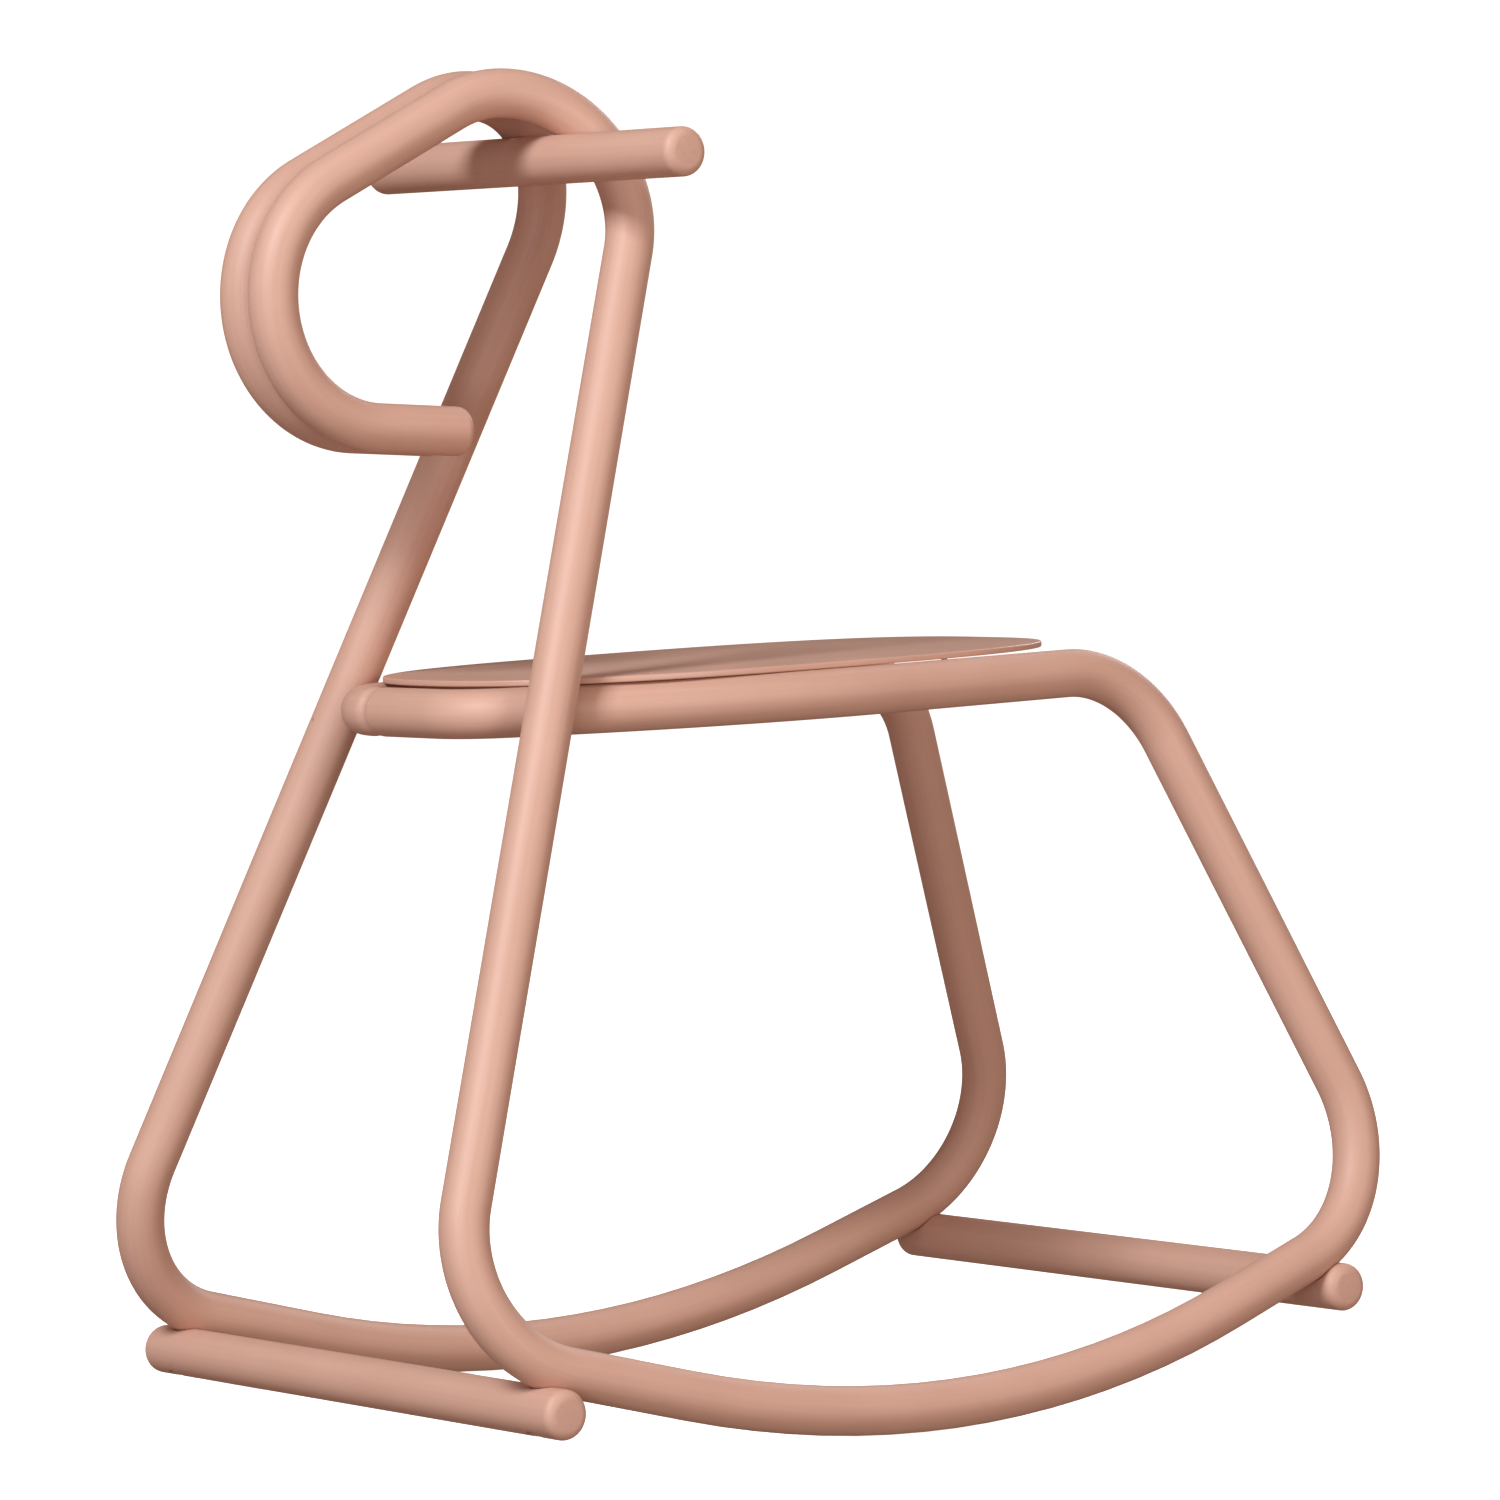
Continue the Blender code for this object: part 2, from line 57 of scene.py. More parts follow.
# every size is in metres; a place is (forward, up), or (forward, half width) on the seat rails
rod = {
    "radius": 0.012,
    "gap": 0.0003,
    "sides": 56,
    "bendStep": 2.0,  # degrees of a bend from one ring to the next
    "leastStep": 0.0004,
    "searchSteps": 3000,
    "endRounding": 0.005,
    "noseSteps": 9,
    "noseRoom": 1.2,  # in end roundings, free of the bends' own rings
    "chinEnd": (0.1831, 0.4815),
    "chinBend": (0.2579, 0.4836),
    "muzzleBend": (0.3322, 0.5625),
    "pollBend": (0.0560, 0.7091),
    "toeBend": (0.2914, 0.0568),
    "rockerFront": (0.0630, 0.0046),
    "rockerRear": (-0.1059, 0.0232),
    "heelBend": (-0.2914, 0.0932),
    "seatRear": -0.1657,
    "pollRadius": 0.0602,
    "toeRadius": 0.0629,
    "heelRadius": 0.0657,
    "seatRearRadius": 0.0608,
    "pairFill": 0.998,
    "spreadPerForward": -0.030,
    "spreadPerUp": -0.222,
    "railLevel": 0.3560,
    "railSlope": 0.050,
    "railBow": (0.0928, 0.0143),
    "railFront": (0.2073, 0.0480),
    "railBowRadius": 0.350,
    "railFrontRadius": 0.036,
    "tipOverrun": 0.0235,
}

bars = {  # where the axis of each runs
    "handle": (0.1347, 0.6138),
    "front_footrest": (0.2377, 0.0240),
    "rear_footrest": (-0.2409, 0.0538),
}

# the frame stands centred on the floor, so its places are moved by what the handle says
handleLow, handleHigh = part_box("handle")
shiftBack = (handleLow[1] + handleHigh[1]) / 2 + bars["handle"][0]
shiftUp = (handleLow[2] + handleHigh[2]) / 2 - bars["handle"][1]


class Signal:  # a socket that can be reckoned with
    def __init__(self, shop, socket):
        self.shop = shop
        self.socket = socket

    def math(self, operation, first, second):
        return self.shop.node("ShaderNodeMath", {"operation": operation}, {0: first, 1: second})[0]

    def __add__(self, other):
        return self.math("ADD", self, other)

    __radd__ = __add__

    def __sub__(self, other):
        return self.math("SUBTRACT", self, other)

    def __rsub__(self, other):
        return self.math("SUBTRACT", other, self)

    def __mul__(self, other):
        return self.math("MULTIPLY", self, other)

    __rmul__ = __mul__

    def between(self, low, high):  # 0 under low, 1 over high
        return self.shop.node("ShaderNodeMapRange", {"interpolation_type": "SMOOTHSTEP"},
                              {"Value": self, "From Min": low, "From Max": high})["Result"]


class Shop:  # one material and the nodes put into it
    def __init__(self, name):
        self.material = bpy.data.materials.new(name)
        self.material.use_nodes = True
        self.tree = self.material.node_tree
        self.shader = self.tree.nodes["Principled BSDF"]

    def put(self, socket, value):
        if isinstance(value, Signal):
            self.tree.links.new(value.socket, socket)
        else:
            socket.default_value = value

    def node(self, kind, settings=None, inputs=None):
        made = self.tree.nodes.new(kind)
        for name, value in (settings or {}).items():
            setattr(made, name, value)
        for name, value in (inputs or {}).items():
            self.put(made.inputs[name], value)
        return Outputs(self, made)

    def blend(self, share, first, second):  # a Mix node's colours are its sockets 6 and 7
        return self.node("ShaderNodeMix", {"data_type": "RGBA"}, {"Factor": share, 6: first, 7: second})[2]

    def noise(self, place, scale, detail=3.0, roughness=0.55):
        return self.node("ShaderNodeTexNoise", None,
                         {"Vector": place, "Scale": scale, "Detail": detail, "Roughness": roughness})["Fac"]

    def stretched(self, place, scale, turn=(0.0, 0.0, 0.0)):
        return self.node("ShaderNodeMapping", None,
                         {"Vector": place, "Scale": scale, "Rotation": turn})["Vector"]

    def finish(self, **inputs):
        for name, value in inputs.items():
            self.put(self.shader.inputs[name], value)
        return self.material


class Outputs:  # a node's outputs, each handed over as a Signal
    def __init__(self, shop, made):
        self.shop = shop
        self.made = made

    def __getitem__(self, name):
        return Signal(self.shop, self.made.outputs[name])


paint = {
    "colour": (0.640, 0.365, 0.272, 1.0),
    "deep": (0.560, 0.300, 0.218, 1.0),
    "light": (0.710, 0.425, 0.325, 1.0),
    "worn": (0.640, 0.450, 0.300, 1.0),
    "speck": (0.300, 0.130, 0.090, 1.0),
    "roughness": 0.56,
    "sheetRoughness": 0.33,
}
grain = {  # how often each pattern repeats in a metre, across the rod twice and along it
    "streaks": (420.0, 420.0, 7.0),
    "fibres": (1500.0, 1500.0, 34.0),
    "bands": (60.0, 60.0, 9.0),
    "pores": (1900.0, 1900.0, 150.0),
    "clouds": 26.0,
    "specks": 20.0,
    "noseRub": 420.0,
    "floorRub": 300.0,
    "rubbedUpTo": (0.0008, 0.0052),  # heights above the floor
}


def paintedWood(name, straightBar=False):
    shop = Shop(name)
    if straightBar:  # the grain runs along X
        place = shop.node("ShaderNodeTexCoord")["Object"]
        along = shop.node("ShaderNodeSeparateXYZ", None, {0: place})
        grainPlace = shop.node("ShaderNodeCombineXYZ", None,
                               {0: along["Y"], 1: along["Z"], 2: along["X"]})["Vector"]
    else:  # the grain follows the bends
        across = shop.node("ShaderNodeAttribute", {"attribute_name": "acrossRod"})["Vector"]
        split = shop.node("ShaderNodeSeparateXYZ", None, {0: across})
        length = shop.node("ShaderNodeAttribute", {"attribute_name": "alongRod"})["Fac"]
        grainPlace = shop.node("ShaderNodeCombineXYZ", None,
                               {0: split["X"] * rod["radius"], 1: split["Y"] * rod["radius"],
                                2: length})["Vector"]
    streaks = shop.noise(shop.stretched(grainPlace, grain["streaks"]), 1.0, 4.0, 0.6)
    fibres = shop.noise(shop.stretched(grainPlace, grain["fibres"]), 1.0, 2.0, 0.5)
    clouds = shop.noise(grainPlace, grain["clouds"], 3.0)
    bands = shop.noise(shop.stretched(grainPlace, grain["bands"]), 1.0, 2.0)
    pores = shop.noise(shop.stretched(grainPlace, grain["pores"]), 1.0, 1.0).between(0.66, 0.76)
    dents = shop.node("ShaderNodeTexVoronoi", {"feature": "F1"},
                      {"Vector": grainPlace, "Scale": grain["specks"], "Randomness": 1.0})["Distance"]
    specks = 1.0 - dents.between(0.018, 0.034)
    nose = shop.node("ShaderNodeAttribute", {"attribute_name": "noseShare"})["Fac"]
    rub = nose.between(0.25, 0.9) * shop.noise(grainPlace, grain["noseRub"], 3.0).between(0.40, 0.68)

    tone = streaks.between(0.30, 0.72) * 0.26 + clouds * 0.52 + bands * 0.22
    colour = shop.blend(tone.between(0.20, 0.80), paint["deep"], paint["light"])
    colour = shop.blend(0.74, colour, paint["colour"])
    colour = shop.blend(pores * 0.12, colour, paint["deep"])
    colour = shop.blend(specks * 0.55, colour, paint["speck"])
    colour = shop.blend(rub * 0.22, colour, paint["light"])
    rough = clouds * 0.10 + streaks * 0.06 + (paint["roughness"] - 0.08)
    if not straightBar:  # the undersides of the rockers rub on the floor
        up = shop.node("ShaderNodeSeparateXYZ", None,
                       {0: shop.node("ShaderNodeTexCoord")["Object"]})["Z"]
        patches = shop.noise(grainPlace, grain["floorRub"], 4.0).between(0.38, 0.62)
        floorRub = (1.0 - up.between(*grain["rubbedUpTo"])) * patches
        colour = shop.blend(floorRub * 0.55, colour, paint["worn"])
        rough = rough + floorRub * 0.16
    height = streaks * 0.45 + fibres * 0.30 + clouds * 0.25 - pores * 0.35 - specks * 1.6
    bump = shop.node("ShaderNodeBump", None,
                     {"Strength": 0.20, "Distance": 0.00018, "Height": height})["Normal"]
    return shop.finish(**{"Base Color": colour, "Roughness": rough, "Normal": bump,
                          "Coat Weight": 0.05, "Coat Roughness": 0.42})


def paintedSheet(name):
    shop = Shop(name)
    place = shop.node("ShaderNodeTexCoord")["Object"]
    peel = shop.noise(place, 620.0, 2.0, 0.5)
    clouds = shop.noise(place, 14.0, 4.0)
    slanted = shop.stretched(place, (900.0, 26.0, 60.0), (0.0, 0.0, 0.5))
    scuffs = shop.noise(slanted, 1.0, 3.0).between(0.66, 0.80)
    polish = shop.noise(place, 5.0, 2.0).between(0.35, 0.65)
    colour = shop.blend(clouds.between(0.3, 0.7), paint["deep"], paint["light"])
    colour = shop.blend(0.70, colour, paint["colour"])
    colour = shop.blend(scuffs * 0.14, colour, paint["light"])
    rough = clouds * 0.08 + polish * 0.07 + paint["sheetRoughness"] + scuffs * 0.10
    bump = shop.node("ShaderNodeBump", None,
                     {"Strength": 0.20, "Distance": 0.00012, "Height": peel - scuffs * 0.4})["Normal"]
    return shop.finish(**{"Base Color": colour, "Roughness": rough, "Normal": bump,
                          "Coat Weight": 0.10, "Coat Roughness": 0.30})


steel = {"dull": (0.40, 0.41, 0.42, 1.0), "bright": (0.62, 0.63, 0.63, 1.0)}
beech = {"deep": (0.56, 0.38, 0.22, 1.0), "light": (0.74, 0.56, 0.37, 1.0), "fleck": (0.38, 0.23, 0.12, 1.0)}


def zincSteel(name):
    shop = Shop(name)
    place = shop.node("ShaderNodeTexCoord")["Object"]
    brushed = shop.noise(shop.stretched(place, (2600.0, 2600.0, 300.0)), 1.0, 2.0)
    stain = shop.noise(place, 260.0, 3.0)
    colour = shop.blend(stain.between(0.35, 0.65), steel["dull"], steel["bright"])
    rough = brushed * 0.16 + 0.24 + stain * 0.08
    bump = shop.node("ShaderNodeBump", None,
                     {"Strength": 0.25, "Distance": 0.00006, "Height": brushed})["Normal"]
    return shop.finish(**{"Base Color": colour, "Roughness": rough, "Normal": bump, "Metallic": 1.0})


def beechWood(name):
    shop = Shop(name)
    place = shop.node("ShaderNodeTexCoord")["Object"]
    rays = shop.noise(shop.stretched(place, (60.0, 1400.0, 1400.0)), 1.0, 4.0)
    flecks = shop.noise(shop.stretched(place, (380.0, 2600.0, 2600.0)), 1.0, 1.0).between(0.60, 0.72)
    colour = shop.blend(rays.between(0.3, 0.7), beech["deep"], beech["light"])
    colour = shop.blend(flecks * 0.4, colour, beech["fleck"])
    bump = shop.node("ShaderNodeBump", None,
                     {"Strength": 0.3, "Distance": 0.0001, "Height": rays - flecks * 0.5})["Normal"]
    return shop.finish(**{"Base Color": colour, "Roughness": rays * 0.12 + 0.52, "Normal": bump})


rodPaint = paintedWood("paintedRods")
barPaint = paintedWood("paintedBars", straightBar=True)
seatPaint = paintedSheet("paintedSeat")
screwSteel = zincSteel("zincScrews")
dowelBeech = beechWood("beechDowels")
print("materials made")


def world(forward, halfWidth, up):
    return np.array([halfWidth, shiftBack - forward, up + shiftUp])


def onLeaningPlane(place):
    forward, up = place
    spread = rod["radius"] + rod["gap"] / 2 + rod["spreadPerForward"] * (forward - rod["pollBend"][0])
    return world(forward, spread + rod["spreadPerUp"] * (up - rod["pollBend"][1]), up)


def onRailPlane(forward, halfWidth):
    return world(forward, halfWidth, rod["railLevel"] - rod["railSlope"] * forward)


def legsOf(before, corner, after):
    return ((before - corner) / np.linalg.norm(before - corner),
            (after - corner) / np.linalg.norm(after - corner))


def reachOfBend(before, corner, after):
    back, on = legsOf(before, corner, after)
    return 1 / math.tan(math.acos(float(back @ on)) / 2)


def pairedRadius(before, first, second, after):  # of two bends that run straight into each other
    room = float(np.linalg.norm(second - first)) * rod["pairFill"]
    return room / (reachOfBend(before, first, second) + reachOfBend(first, second, after))


def leftCorners():
    side = rod["radius"] + rod["gap"] / 2
    head = [world(f, side, u) for f, u in
            (rod["chinEnd"], rod["chinBend"], rod["muzzleBend"], rod["pollBend"])]
    lower = [onLeaningPlane(rod[n]) for n in ("toeBend", "rockerFront", "rockerRear", "heelBend")]
    rearLevel = rod["railLevel"] - rod["railSlope"] * rod["seatRear"]
    rearHalf = float(onLeaningPlane((rod["seatRear"], rearLevel))[0])
    front, frontHalf = rod["railFront"]
    rail = [onRailPlane(rod["seatRear"], rearHalf),
            onRailPlane(rod["railBow"][0], rearHalf + rod["railBow"][1]),
            onRailPlane(front, frontHalf), onRailPlane(front, -rod["tipOverrun"])]
    muzzle, rocker = pairedRadius(*head), pairedRadius(*lower)
    bends = [muzzle, muzzle, rod["pollRadius"], rod["toeRadius"], rocker, rocker, rod["heelRadius"],
             rod["seatRearRadius"], rod["railBowRadius"], rod["railFrontRadius"]]
    return head + lower + rail, bends


def roundedPath(corners, bends):
    points = [corners[0]]
    for before, corner, after, radius in zip(corners, corners[1:], corners[2:], bends):
        back, on = legsOf(before, corner, after)
        between = math.acos(float(back @ on))
        centre = corner + (back + on) / np.linalg.norm(back + on) * radius / math.sin(between / 2)
        across = (corner + back * radius / math.tan(between / 2) - centre) / radius
        count = max(4, math.ceil(math.degrees(math.pi - between) / rod["bendStep"]))
        for k in range(count + 1):
            angle = (math.pi - between) * k / count
            points.append(centre + radius * (math.cos(angle) * across - math.sin(angle) * back))
    points.append(corners[-1])
    return np.array(points)


def lengthsAlong(points):
    return np.concatenate([[0.0], np.cumsum(np.linalg.norm(np.diff(points, axis=0), axis=1))])


def pointAt(points, along, distance):
    return np.array([np.interp(distance, along, points[:, k]) for k in range(3)])


# each station is a place, a radius and its share of the round end, where they stand closer together
def stationsOf(points, radius):
    along = lengthsAlong(points)
    total, rounding = along[-1], rod["endRounding"]
    nose = []
    for k in range(rod["noseSteps"] + 1):
        angle = math.pi / 2 * k / rod["noseSteps"]
        nose.append((rounding * (1 - math.cos(angle)), radius - rounding * (1 - math.sin(angle)),
                     1 - math.sin(angle)))
    room = rounding * rod["noseRoom"]
    middle = [(d, radius, 0.0) for d in along if room < d < total - room]
    spaced = [middle[0]]
    for step in middle[1:]:
        if step[0] - spaced[-1][0] > rod["leastStep"]:
            spaced.append(step)
    ordered = nose + spaced + [(total - d, r, n) for d, r, n in reversed(nose)]
    return [(pointAt(points, along, d), r, n) for d, r, n in ordered]


class Tree:  # a Geometry Nodes group that is run once on a base mesh
    def __init__(self, name, inputs):
        self.tree = bpy.data.node_groups.new(name, "GeometryNodeTree")
        self.tree.interface.new_socket("Geometry", in_out="INPUT", socket_type="NodeSocketGeometry")
        self.tree.interface.new_socket("Geometry", in_out="OUTPUT", socket_type="NodeSocketGeometry")
        self.sockets = {}
        for label, kind in inputs:
            self.sockets[label] = self.tree.interface.new_socket(label, in_out="INPUT", socket_type=kind)
        self.start = self.tree.nodes.new("NodeGroupInput")
        self.end = self.tree.nodes.new("NodeGroupOutput")

    def given(self, label):
        return self.start.outputs[label]

    def node(self, kind, settings=None, inputs=None):
        made = self.tree.nodes.new(kind)
        for name, value in (settings or {}).items():
            setattr(made, name, value)
        for name, value in (inputs or {}).items():
            socket = made.inputs[name]
            if isinstance(value, bpy.types.NodeSocket):
                self.tree.links.new(value, socket)
            else:
                socket.default_value = value
        return made

    def close(self, geometry):
        self.tree.links.new(geometry, self.end.inputs["Geometry"])

    def run(self, base, name, values):
        carrier = bpy.data.objects.new(name + "Line", base)
        bpy.context.scene.collection.objects.link(carrier)
        change = carrier.modifiers.new("shape", "NODES")
        change.node_group = self.tree
        for label, value in values.items():
            change[self.sockets[label].identifier] = value
        graph = bpy.context.evaluated_depsgraph_get()
        mesh = bpy.data.meshes.new_from_object(carrier.evaluated_get(graph), depsgraph=graph)
        carrier.modifiers.clear()
        bpy.data.objects.remove(carrier, do_unlink=True)
        mesh.name = name
        piece = bpy.data.objects.new(name, mesh)
        bpy.context.scene.collection.objects.link(piece)
        return piece


def bentRodTree():
    made = Tree("bentRod", [("Section Sides", "NodeSocketInt"), ("Finish", "NodeSocketMaterial")])
    line = made.node("GeometryNodeMeshToCurve", None, {"Mesh": made.given("Geometry")})
    width = made.node("GeometryNodeInputNamedAttribute", {"data_type": "FLOAT"}, {"Name": "rodRadius"})
    sized = made.node("GeometryNodeSetCurveRadius", None,
                      {"Curve": line.outputs["Curve"], "Radius": width.outputs["Attribute"]})
    measure = made.node("GeometryNodeSplineParameter")
    marked = made.node("GeometryNodeStoreNamedAttribute", {"data_type": "FLOAT", "domain": "POINT"},
                       {"Geometry": sized.outputs["Curve"], "Name": "alongRod",
                        "Value": measure.outputs["Length"]})
    ring = made.node("GeometryNodeCurvePrimitiveCircle", None,
                     {"Resolution": made.given("Section Sides"), "Radius": 1.0})
    spot = made.node("GeometryNodeInputPosition")
    section = made.node("GeometryNodeStoreNamedAttribute", {"data_type": "FLOAT_VECTOR", "domain": "POINT"},
                        {"Geometry": ring.outputs["Curve"], "Name": "acrossRod",
                         "Value": spot.outputs["Position"]})
    swept = made.node("GeometryNodeCurveToMesh", None,
                      {"Curve": marked.outputs["Geometry"],
                       "Profile Curve": section.outputs["Geometry"], "Fill Caps": True})
    if "Scale" in swept.inputs:
        made.tree.links.new(width.outputs["Attribute"], swept.inputs["Scale"])
    whole = made.node("GeometryNodeRealizeInstances", None, {"Geometry": swept.outputs["Mesh"]})
    painted = made.node("GeometryNodeSetMaterial", None,
                        {"Geometry": whole.outputs["Geometry"], "Material": made.given("Finish")})
    made.close(painted.outputs["Geometry"])
    return made


def bentRod(tree, name, stations, finish):
    base = bpy.data.meshes.new(name + "Line")
    base.from_pydata([tuple(p) for p, r, n in stations],
                     [(k, k + 1) for k in range(len(stations) - 1)], [])
    for label, column in (("rodRadius", 1), ("noseShare", 2)):
        values = base.attributes.new(label, "FLOAT", "POINT")
        values.data.foreach_set("value", [float(s[column]) for s in stations])
    piece = tree.run(base, name, {"Section Sides": rod["sides"], "Finish": finish})
    shape = bmesh.new()
    shape.from_mesh(piece.data)
    bmesh.ops.recalc_face_normals(shape, faces=shape.faces)
    for face in shape.faces:
        face.smooth = len(face.verts) == 4
    shape.to_mesh(piece.data)
    shape.free()
    return piece


def carve(piece, cutters, sharpAbove=32.0):
    for cutter in cutters:
        change = piece.modifiers.new("carve", "BOOLEAN")
        change.operation, change.solver, change.object = "DIFFERENCE", "EXACT", cutter
    graph = bpy.context.evaluated_depsgraph_get()
    mesh = bpy.data.meshes.new_from_object(piece.evaluated_get(graph), depsgraph=graph)
    finish = piece.data.materials[0]
    piece.modifiers.clear()
    mesh.name = piece.name
    piece.data = mesh
    mesh.materials.clear()
    mesh.materials.append(finish)
    mesh.polygons.foreach_set("material_index", [0] * len(mesh.polygons))
    mesh.polygons.foreach_set("use_smooth", [True] * len(mesh.polygons))
    mesh.set_sharp_from_angle(angle=math.radians(sharpAbove))
    for cutter in cutters:
        bpy.data.objects.remove(cutter, do_unlink=True)


def turnedCutter(name, profile, place, direction, sides=48):
    shape = bmesh.new()
    line = [shape.verts.new((r, 0.0, -depth)) for r, depth in profile]
    edges = [shape.edges.new(pair) for pair in zip(line, line[1:])]
    bmesh.ops.spin(shape, geom=[*line, *edges], cent=(0, 0, 0), axis=(0, 0, 1),
                   angle=2 * math.pi, steps=sides, use_duplicate=False)
    bmesh.ops.remove_doubles(shape, verts=shape.verts, dist=0.000001)
    bmesh.ops.recalc_face_normals(shape, faces=shape.faces)
    turn = (-Vector(direction)).to_track_quat("Z", "Y").to_matrix().to_4x4()
    turn.translation = Vector(place)
    shape.transform(turn)
    mesh = bpy.data.meshes.new(name)
    shape.to_mesh(mesh)
    shape.free()
    made = bpy.data.objects.new(name, mesh)
    bpy.context.scene.collection.objects.link(made)
    return made


screw = {
    "head": 0.0042, "headDepth": 0.0026, "shank": 0.0020,
    "seatHead": 0.0034, "seatHeadDepth": 0.0019, "seatShank": 0.0015,
    "socket": 0.0017, "socketDepth": 0.0016, "socketSides": 6,
    "edge": 0.00025, "tipShare": 1.6,  # the tip's length, in shank radii
    "gap": 0.0003, "holeAbove": 0.004, "holeLength": 0.045,
    "rimShare": 0.93,  # of the widest radius, what counts as the head's rim
}


def screwMark(name):  # where a screw's head is, and the way it points, from its own solid
    places = np.array([v.co for v in nodes[name].data.vertices])
    spread = places - places.mean(axis=0)
    axis = np.linalg.svd(spread, full_matrices=False)[2][0]
    level = spread @ axis
    away = np.linalg.norm(spread - np.outer(level, axis), axis=1)
    if level[away.argmax()] > (level.min() + level.max()) / 2:
        axis, level = -axis, -level
    rim = places[away > away.max() * screw["rimShare"]].mean(axis=0)
    return rim + axis * (level.min() - (rim - places.mean(axis=0)) @ axis), axis


tree = bentRodTree()
corners, bends = leftCorners()
leftPath = roundedPath(corners, bends)
rightPath = leftPath * np.array([-1.0, 1.0, 1.0])
stop = leftPath[-1][0] - rod["gap"]
alongRight = lengthsAlong(rightPath)
fine = np.linspace(alongRight[-1] - 4 * rod["tipOverrun"], alongRight[-1], rod["searchSteps"])
reached = [d for d in fine if pointAt(rightPath, alongRight, d)[0] <= stop][-1]
kept = rightPath[alongRight < reached - rod["leastStep"] / 2]
rightPath = np.array([*kept, pointAt(rightPath, alongRight, reached)])

rods = {}
for side, path in (("left", leftPath), ("right", rightPath)):
    rods[side] = bentRod(tree, side + "BentRod", stationsOf(path, rod["radius"]), rodPaint)
    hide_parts("frame_rod_" + side)
    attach(rods[side], "root")
print("bent rods made")

saddle = {"gap": 0.0005, "reach": 8.0, "steps": 60}  # the reach is in rod radii either way


def holeFor(name, small=False):
    place, way = screwMark(name)
    head = screw["seatHead" if small else "head"] + screw["gap"]
    depth = screw["seatHeadDepth" if small else "headDepth"]
    shank = screw["seatShank" if small else "shank"] + screw["gap"]
    above, below = -screw["holeAbove"], screw["holeLength"]
    profile = [(0, above), (head, above), (head, screw["gap"]), (shank, depth + screw["gap"]),
               (shank, below), (0, below)]
    return turnedCutter(name + "Hole", profile, place, way)


for name, (forward, up) in bars.items():
    low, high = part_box(name)
    ends = np.array([world(forward, low[0], up), world(forward, high[0], up)])
    bar = bentRod(tree, name.replace("_", " ").title().replace(" ", "") + "Bar",
                  stationsOf(np.linspace(ends[0], ends[1], saddle["steps"]), rod["radius"]), barPaint)
    cutters = []
    for side, path in (("left", leftPath), ("right", rightPath)):
        along = lengthsAlong(path)
        fine = np.linspace(0, along[-1], rod["searchSteps"])
        spots = np.array([pointAt(path, along, d) for d in fine])
        away = np.hypot(spots[:, 1] - ends[0][1], spots[:, 2] - ends[0][2])
        middle = fine[int(away.argmin())]
        reach = saddle["reach"] * rod["radius"]
        stretch = [pointAt(path, along, d) for d in
                   np.linspace(max(0, middle - reach), min(along[-1], middle + reach), saddle["steps"])]
        cutters.append(bentRod(tree, name + side + "Hollow",
                               [(p, rod["radius"] + saddle["gap"], 0.0) for p in stretch], barPaint))
        if name != "handle":
            cutters.append(holeFor(name + "_screw_" + side))
    carve(bar, cutters)
    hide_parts(name)
    if name == "handle":  # its screw heads are filled over and painted
        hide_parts("handle", "handle_screw_left", "handle_screw_right")
    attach(bar, "root")
print("cross bars made")

seat = {
    "thickness": 0.0030,
    "edgeRounding": 0.0007,
    "centre": 0.030,
    "widestCorner": 9,  # the rail's bow, among the corners of the rod
    "inset": 0.0049,
    "frontShort": 0.0073,  # of the corner of the rail's bend on that side
    "rearShort": 0.0147,
    "frontPower": 2.5,
    "rearPower": 2.9,
    "points": 288,
    "edgeSteps": 4,
}


def seatOutline(inwards):
    halfWidth = corners[seat["widestCorner"]][0] - seat["inset"]
    points = []
    for k in range(seat["points"]):
        angle = 2 * math.pi * k / seat["points"]
        c, s = math.cos(angle), math.sin(angle)
        reach = (rod["railFront"][0] - seat["centre"] - seat["frontShort"] if c > 0
                 else seat["centre"] - rod["seatRear"] - seat["rearShort"])
        power = seat["frontPower"] if c > 0 else seat["rearPower"]
        points.append((halfWidth * math.copysign(abs(s) ** (2 / power), s),
                       -reach * math.copysign(abs(c) ** (2 / power), c)))
    points = np.array(points)
    tangent = np.roll(points, -1, axis=0) - np.roll(points, 1, axis=0)
    tangent /= np.linalg.norm(tangent, axis=1)[:, None]
    normal = np.column_stack([tangent[:, 1], -tangent[:, 0]])
    outwards = np.sign((normal * points).sum(axis=1))[:, None]
    return points - normal * outwards * inwards


